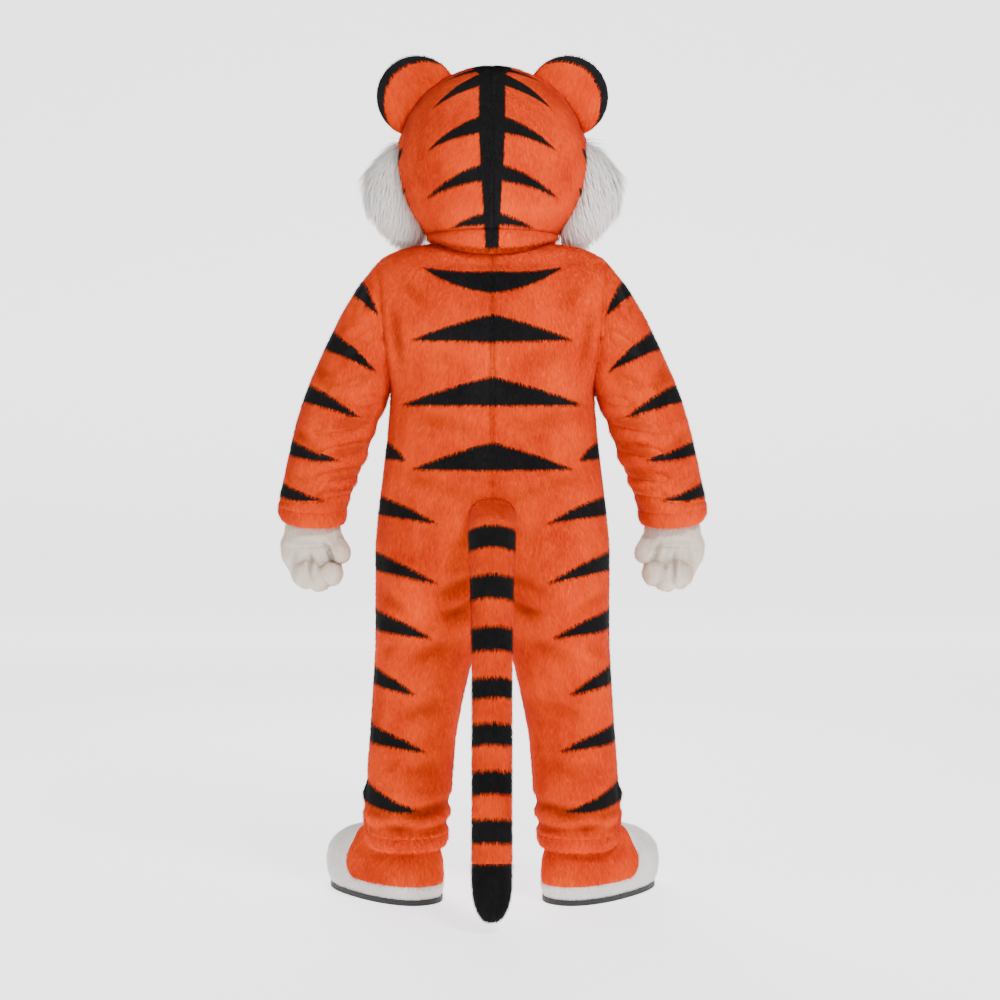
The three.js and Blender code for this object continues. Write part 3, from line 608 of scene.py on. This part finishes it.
def grow(base, name, material, **settings):
    """Grows the pile on a piece and returns it as a plain mesh of its own."""
    low = np.array([v.co for v in base.data.vertices]).min(0)
    high = np.array([v.co for v in base.data.vertices]).max(0)
    given = {
        "Blade": SHORT_BLADE, "Density": 158000, "Length": 0.0095, "Width": 0.0019, "Lift": 0.38,
        "Comb": (0, 0, -1), "Spread": 0.0, "Centre": (0, 0, 0), "Disorder": 0.3, "Swirl": 1.6,
        "Low": tuple(low), "Span": float((high - low).max()), "Seed": 3, "Material": material,
    }
    given.update(settings)
    modifier = base.modifiers.new("pile", "NODES")
    modifier.node_group = PILE
    for item in PILE.interface.items_tree:
        if item.in_out == "INPUT" and item.name in given:
            modifier[item.identifier] = given[item.name]
    bpy.context.view_layer.update()
    mesh = bpy.data.meshes.new_from_object(base.evaluated_get(bpy.context.evaluated_depsgraph_get()))
    base.modifiers.remove(modifier)
    mesh.name = name
    piece = bpy.data.objects.new(name, mesh)
    bpy.context.scene.collection.objects.link(piece)
    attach(piece, "root")
    return piece


# ---------------------------------------------------------------- pieces
def as_piece(bm, name, material):
    """Turns a bmesh into a piece that rides on the costume's one body."""
    bmesh.ops.recalc_face_normals(bm, faces=bm.faces)
    mesh = bpy.data.meshes.new(name)
    bm.to_mesh(mesh)
    bm.free()
    mesh.shade_smooth()
    mesh.set_sharp_from_angle(angle=math.radians(50))
    mesh.materials.append(material)
    piece = bpy.data.objects.new(name, mesh)
    bpy.context.scene.collection.objects.link(piece)
    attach(piece, "root")
    return piece


def seed_of(name):
    return sum(ord(letter) * (k + 3) for k, letter in enumerate(name)) % 997


def soft_copy(node, edge, rounds=6, folds=()):
    """A finer, rounder copy of a node with its outside marked and its folds pressed in."""
    bm = cad_copy(node)
    cut_fine(bm, edge)
    smooth(bm, rounds)
    mark_outside(bm)
    press_folds(bm, folds)
    return bm


FINISHES = {}


def finish_pair(name, ground, stripes=None, extra=None):
    """The cloth's finish and its pile's finish, made once."""
    if name not in FINISHES:
        cloth = plush(name + "_cloth", ground, False, stripes, extra)
        pile = plush(name + "_pile", ground, True, stripes, extra)
        FINISHES[name] = (cloth, pile)
    return FINISHES[name]


def dress(node, slot, finish, edge=18, rounds=6, folds=(), **pile):
    """Makes a node's cloth with its pile, and returns both."""
    bm = soft_copy(node, edge * MM, rounds, folds)
    base = as_piece(bm, node + "_cloth", finish[0])
    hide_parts(node)
    return base, furred(base, node, slot, finish, **pile)


def furred(base, node, slot, finish, **pile):
    fur = grow(base, node + "_pile", finish[1], **{"Seed": seed_of(node), **pile})
    return fur


# Folds: a line across the cloth seen from the back or from the front, its depth and its width.
FOLD_LINE = "x1 h1 x2 h2 depth width"
BACK_FOLDS = table(FOLD_LINE, [
    (0, 1470, 0, 925, 5, 6),
    (257, 1440, 229, 1150, 4, 8),
    (205, 1395, 150, 1330, 3, 16),
    (222, 1330, 200, 1190, 5, 13),
    (60, 1200, 150, 1225, 2.5, 20),
    (40, 1062, 168, 1090, 3, 20),
    (200, 960, 110, 935, 3, 18),
    (30, 905, 110, 935, 3, 16),
    (20, 740, 120, 700, 5, 16),
    (28, 700, 105, 640, 5, 15),
    (40, 655, 130, 668, 3, 14),
    (250, 700, 190, 660, 4, 16),
    (90, 590, 180, 552, 5, 17),
    (246, 560, 200, 590, 3, 14),
    (110, 455, 200, 430, 3.5, 17),
    (120, 320, 200, 296, 4, 16),
    (250, 300, 200, 322, 3, 14),
    (118, 215, 215, 186, 6, 14),
    (262, 196, 190, 172, 5, 13),
])
FRONT_FOLDS = table(FOLD_LINE, [
    (0, 1440, 0, 700, 4, 6),
    (257, 1440, 229, 1150, 4, 8),
    (210, 1390, 160, 1325, 3, 16),
    (222, 1320, 200, 1180, 5, 13),
    (40, 1250, 150, 1290, 2.5, 22),
    (60, 1075, 190, 1040, 3, 20),
    (30, 930, 150, 905, 3, 18),
    (25, 745, 130, 705, 5, 16),
    (35, 690, 120, 628, 5, 15),
    (240, 690, 180, 640, 4, 16),
    (95, 560, 190, 590, 4.5, 16),
    (110, 440, 205, 462, 3.5, 17),
    (120, 330, 210, 300, 4, 16),
    (110, 225, 215, 190, 6, 14),
    (262, 205, 185, 176, 5, 13),
])
LEG_RINGS = table(FOLD_LINE, [
    (60, 226, 300, 206, 7, 15),
    (60, 176, 300, 170, 6, 13),
    (60, 140, 300, 150, 3, 9),
])
SLEEVE_RINGS = table(FOLD_LINE, [
    (250, 1130, 320, 1108, 6, 16),
    (262, 1083, 340, 1062, 8, 14),
    (275, 1026, 356, 1008, 8, 14),
    (292, 969, 372, 952, 8, 13),
    (306, 924, 390, 911, 6, 11),
    (340, 894, 500, 900, 4, 8),
])
SLEEVE_BACK_FOLDS = table(FOLD_LINE, [
    (257, 1440, 229, 1150, 4, 8),
    (272, 1395, 300, 1300, 4, 14),
    (246, 1290, 330, 1225, 5, 17),
    (262, 1180, 352, 1150, 4.5, 16),
    (400, 1215, 330, 1110, 4, 16),
    (290, 1083, 380, 1052, 6, 15),
    (300, 1024, 402, 1000, 6.5, 15),
    (448, 1062, 380, 1010, 4, 14),
    (318, 967, 416, 944, 5.5, 14),
    (468, 970, 400, 915, 4, 13),
    (330, 922, 420, 906, 4.5, 12),
])
SLEEVE_FRONT_FOLDS = table(FOLD_LINE, [
    (257, 1440, 229, 1150, 4, 8),
    (272, 1390, 300, 1290, 4, 14),
    (250, 1270, 340, 1205, 5, 16),
    (272, 1160, 366, 1128, 5, 15),
    (285, 1090, 392, 1046, 6.5, 15),
    (440, 1090, 350, 1020, 4, 14),
    (305, 1010, 410, 984, 6, 14),
    (322, 950, 430, 930, 5, 13),
    (460, 960, 396, 905, 4, 13),
])


def make_suit():
    back = finish_pair("back", ORANGE, BACK_STRIPES + SIDE_STRIPES)
    front = finish_pair("front", ORANGE, SIDE_STRIPES)
    arm = finish_pair("arm", ORANGE, SLEEVE_STRIPES)
    plain = finish_pair("orange", ORANGE)
    for side, lay in SIDES.items():
        for kind, finish, folds in (
            ("back_panel", back, {"back": BACK_FOLDS, "round": LEG_RINGS}),
            ("front_panel", front, {"front": FRONT_FOLDS, "round": LEG_RINGS}),
            ("sleeve", arm, {"back": SLEEVE_BACK_FOLDS, "front": SLEEVE_FRONT_FOLDS, "round": SLEEVE_RINGS}),
        ):
            node = f"{kind}_{side}"
            base, fur = dress(node, "orange_fur", finish, folds=folds, Comb=(0.12 * lay, 0, -1))
        for kind, finish in (("sleeve_hem", arm), ("leg_hem", back)):
            node = f"{kind}_{side}"
            base, fur = dress(node, "orange_fur", finish, rounds=2, Length=0.009)
    base, fur = dress("neckband", "orange_fur", plain, rounds=2, Length=0.008)


def make_tail():
    ringed = finish_pair("tail", ORANGE, (), bands)
    black = finish_pair("black", BLACK)
    base, _ = dress("tail", "orange_fur", ringed, Comb=(0, 0.3, -1), Length=0.013)
    base, _ = dress("tail_tip", "black_fur", black, Comb=(0, 0.3, -1), Length=0.014)


def make_head():
    nape = finish_pair("nape", ORANGE, HEAD_STRIPES, spine)
    brow = finish_pair("brow", ORANGE, FACE_STRIPES)
    plain = finish_pair("orange", ORANGE)
    black = finish_pair("black", BLACK)
    for side, lay in SIDES.items():
        crown = (0, 0, level(1840))
        for kind, finish in (("head_back", nape), ("face", brow)):
            node = f"{kind}_{side}"
            base, fur = dress(
                node, "orange_fur", finish, rounds=3, Comb=(0.25 * lay, 0, -1), Spread=2.0, Centre=crown
            )
        for kind, slot, finish in (("ear", "orange_fur", plain), ("ear_rim", "black_fur", black)):
            node = f"{kind}_{side}"
            base, _ = dress(node, slot, finish, edge=11, rounds=3, Comb=(0.5 * lay, 0, 1), Length=0.01)
    base, _ = dress("neck_roll", "orange_fur", nape, rounds=3, Comb=(0, 0, -1))


# ---------------------------------------------------------------- the face's features
def make_features():
    white = finish_pair("white", WHITE)
    base, _ = dress("muzzle", "white_fur", white, edge=11, Comb=(0, 0.8, -0.5), Spread=3.0, Length=0.012)
    leather = glossy("nose_leather", (0.006, 0.005, 0.006), (0.02, 0.016, 0.018), 0.3)
    ball = glossy("eye_plastic", (0.78, 0.76, 0.7), (0.9, 0.88, 0.84), 0.12)
    for kind, slot, material in (("nose", "nose", leather), ("eye", "eye", ball), ("pupil", "nose", leather)):
        nodes = ["nose"] if kind == "nose" else [f"{kind}_{side}" for side in SIDES]
        for node in nodes:
            bm = cad_copy(node)
            cut_fine(bm, 6 * MM)
            smooth(bm, 4)
            piece = as_piece(bm, node + "_moulding", material)
            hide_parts(node)


CHEEK = {"shrink": 0.94, "head": 150, "length": 0.06, "density": 95000}
CHEEK_SPREAD = table("height share", [(1490, 0.55), (1530, 0.78), (1580, 0.88), (1640, 0.85), (1710, 0.55)])


def make_cheeks():
    """Long fur that starts below the ears and falls to the neck, on a pad that narrows downwards."""
    long = finish_pair("cheek", WHITE)
    heights = [row["height"] for row in CHEEK_SPREAD]
    shares = [row["share"] for row in CHEEK_SPREAD]
    for side, lay in SIDES.items():
        node = f"cheek_fur_{side}"
        bm = soft_copy(node, 12 * MM, 3)
        middle = sum((v.co for v in bm.verts), Vector()) / len(bm.verts)
        for v in bm.verts:
            v.co = middle + (v.co - middle) * CHEEK["shrink"]
            out = abs(v.co.x) - CHEEK["head"] * MM
            if out > 0:
                share = float(np.interp((v.co.z - FLOOR) / MM, heights, shares))
                v.co.x = lay * (CHEEK["head"] * MM + out * share)
        base = as_piece(bm, node + "_pad", long[0])
        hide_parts(node)
        furred(
            base, node, "long_fur", long, Blade=LONG_BLADE, Density=CHEEK["density"], Width=0.0026,
            Length=CHEEK["length"], Lift=0.34, Comb=(0.25 * lay, 0.05, -1), Swirl=0.9, Disorder=0.3,
            Centre=(0.12 * lay, middle.y, level(1800)), Spread=2.0,
        )


# ---------------------------------------------------------------- gloves
GLOVE_FOLDS = table(FOLD_LINE, [
    (342, 846, 470, 850, 2.5, 9),
    (366, 800, 452, 806, 4, 8),
    (378, 806, 362, 762, 6, 7),
    (412, 790, 404, 716, 6, 6),
    (440, 800, 452, 748, 3, 7),
])


# how far a hand fills the glove out, where that starts and how soon it is whole, and the sizes of its mesh
GLOVE = {"fill": 5, "wrist": 30, "fade": 40, "face": 4, "wall": 4, "lid": 4}


def outer_shell(bm, top):
    """Opens a hollow wall at its top rim and keeps the outer of its two shells."""
    rim = [f for f in bm.faces if f.normal.z > 0.8 and f.calc_center_median().z > top - 3 * MM]
    bmesh.ops.delete(bm, geom=rim, context="FACES")
    left, shells = set(bm.faces), []
    while left:
        queue = [left.pop()]
        shell = []
        while queue:
            face = queue.pop()
            shell.append(face)
            for edge in face.edges:
                for other in edge.link_faces:
                    if other in left:
                        left.remove(other)
                        queue.append(other)
        shells.append(shell)
    shells.sort(key=lambda s: sum(f.calc_area() for f in s))
    extra = [f for shell in shells[:-1] for f in shell]
    bmesh.ops.delete(bm, geom=extra, context="FACES")
    bmesh.ops.holes_fill(bm, edges=[e for e in bm.edges if e.is_boundary])


def evenly_meshed(bm):
    """The same form as a new bmesh of small, even faces."""
    mesh = bpy.data.meshes.new("glove_form")
    bm.to_mesh(mesh)
    bm.free()
    form = bpy.data.objects.new("glove_form", mesh)
    bpy.context.scene.collection.objects.link(form)
    remesh = form.modifiers.new("even", "REMESH")
    remesh.mode, remesh.voxel_size = "VOXEL", GLOVE["face"] * MM
    bpy.context.view_layer.update()
    even = bpy.data.meshes.new_from_object(form.evaluated_get(bpy.context.evaluated_depsgraph_get()))
    bpy.data.objects.remove(form)
    fine = bmesh.new()
    fine.from_mesh(even)
    bmesh.ops.triangulate(fine, faces=fine.faces)
    return fine


def fill_out(bm, top):
    """Swells the glove as a hand does, from nothing at the wrist to all of it below."""
    bm.normal_update()
    for v in bm.verts:
        below = min(max((top - v.co.z) / MM - GLOVE["wrist"], 0) / GLOVE["fade"], 1)
        v.co += v.normal * (GLOVE["fill"] * MM * below)
    smooth(bm, 12, 180)


def wall_inside(bm, layer):
    """Gives the open shell an inner face, turned over, and joins the two at the rim."""
    copied = bmesh.ops.duplicate(bm, geom=bm.faces[:])["geom"]
    bm.normal_update()
    faces = {g for g in copied if isinstance(g, bmesh.types.BMFace)}
    for v in {v for f in faces for v in f.verts}:
        v.co -= v.normal * (GLOVE["wall"] * MM)
    bmesh.ops.reverse_faces(bm, faces=list(faces))
    rim = bmesh.ops.bridge_loops(bm, edges=[e for e in bm.edges if e.is_boundary])["faces"]
    for f in [*faces, *rim]:
        f[layer] = False


def glove_wall(node):
    bm = cad_copy(node)
    top = max(v.co.z for v in bm.verts)
    outer_shell(bm, top)
    bm = evenly_meshed(bm)
    fill_out(bm, top)
    layer = bm.faces.layers.bool.new("outside")
    for face in bm.faces:
        face[layer] = True
    press_folds(bm, {"back": GLOVE_FOLDS, "front": GLOVE_FOLDS[:1]})
    lid = [f for f in bm.faces if f.calc_center_median().z > top - GLOVE["lid"] * MM]
    bmesh.ops.delete(bm, geom=lid, context="FACES")
    wall_inside(bm, layer)
    return bm


def make_gloves():
    cream = finish_pair("glove", CREAM)
    for side in SIDES:
        node = f"glove_{side}"
        base = as_piece(glove_wall(node), node + "_cloth", cream[0])
        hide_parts(node)
        furred(base, node, "cream_plush", cream, Length=0.007, Density=200000, Comb=(0, 0, -1))


# ---------------------------------------------------------------- boots
def make_boots():
    plain = finish_pair("orange", ORANGE)
    white = finish_pair("white", WHITE)
    rubber = glossy("sole_rubber", (0.006, 0.006, 0.007), (0.02, 0.02, 0.021), 0.6)
    for side in SIDES:
        for kind, slot, finish in (("boot_upper", "orange_fur", plain), ("boot_trim", "white_fur", white)):
            node = f"{kind}_{side}"
            base, fur = dress(node, slot, finish, edge=12, rounds=3, Length=0.009, Comb=(0, -0.3, -1))
        sole = bpy.data.objects[f"boot_sole_{side}"]
        for k in range(len(sole.material_slots)):
            sole.material_slots[k].material = rubber


# ---------------------------------------------------------------- the studio
def make_studio():
    """A pale floor that curves up into a wall behind."""
    rows = [(-7.2, 7), (-7.2, 1.6), (-7.1, 0.9), (-6.9, 0.4), (-6.5, 0.1), (-5.9, 0), (0, 0), (7, 0)]
    bm = bmesh.new()
    lines = [[bm.verts.new((x, y, FLOOR + z)) for x in (-7, 7)] for y, z in rows]
    for low, high in zip(lines, lines[1:]):
        bm.faces.new((low[0], high[0], high[1], low[1]))
    mesh = bpy.data.meshes.new("studio")
    bm.to_mesh(mesh)
    bm.free()
    mesh.shade_smooth()
    studio = bpy.data.objects.new("studio", mesh)
    bpy.context.scene.collection.objects.link(studio)
    finish = Finish("studio_paper")
    tint = finish.noise(finish.place(False), 3, 2.0)
    finish.feed(finish.shader.inputs["Base Color"], finish.blend(tint, (0.9, 0.9, 0.9), (0.93, 0.93, 0.93)))
    finish.set(Roughness=0.9, Emission_Color=(1, 1, 1), Emission_Strength=1.8)
    mesh.materials.append(finish.material)


def main():
    set_camera()
    set_lights()
    make_studio()
    make_suit()
    make_tail()
    make_head()
    make_features()
    make_cheeks()
    make_gloves()
    make_boots()
    for blade in (SHORT_BLADE, LONG_BLADE):
        bpy.data.objects.remove(blade)


main()
